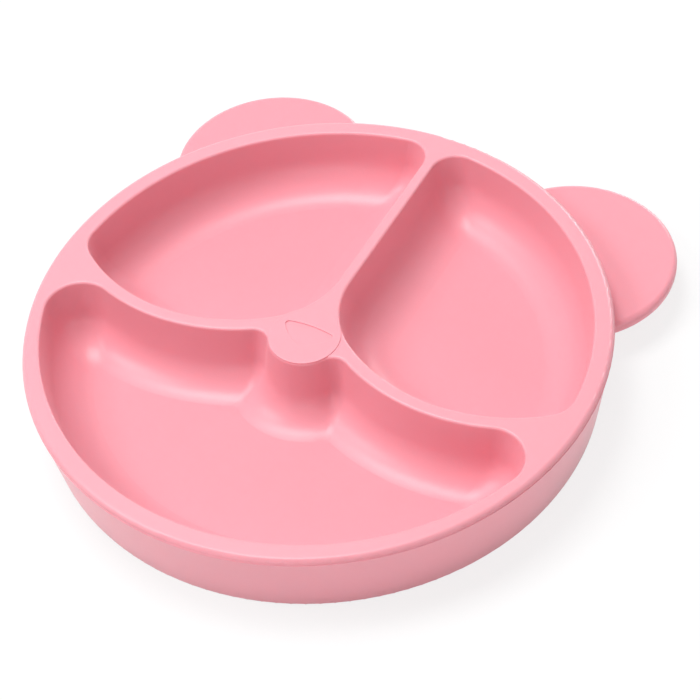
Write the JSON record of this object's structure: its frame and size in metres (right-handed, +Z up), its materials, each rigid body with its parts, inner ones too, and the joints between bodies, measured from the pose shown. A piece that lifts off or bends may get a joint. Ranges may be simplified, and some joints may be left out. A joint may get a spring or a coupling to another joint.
{
  "type": "divided suction plate",
  "caption": "Soft one-piece child's plate with a bear outline: deep pockets for food, flat ears as lifting tabs, and a suction dish underneath that grips the table.",
  "frame": {"origin": "the centre of the round tray, on the table that the plate rests on", "axes": "+Z up, +Y towards the ears, which is the top of the face, +X to the right of the face as seen from above with the ears at the top"},
  "size_m": [0.1852, 0.1957, 0.0267],
  "materials": {
    "silicone": "soft matte moulded silicone with a faint sheen, coloured through in light pink"
  },
  "bodies": {
    "root": {"plate": "silicone"}
  },
  "joints": []
}
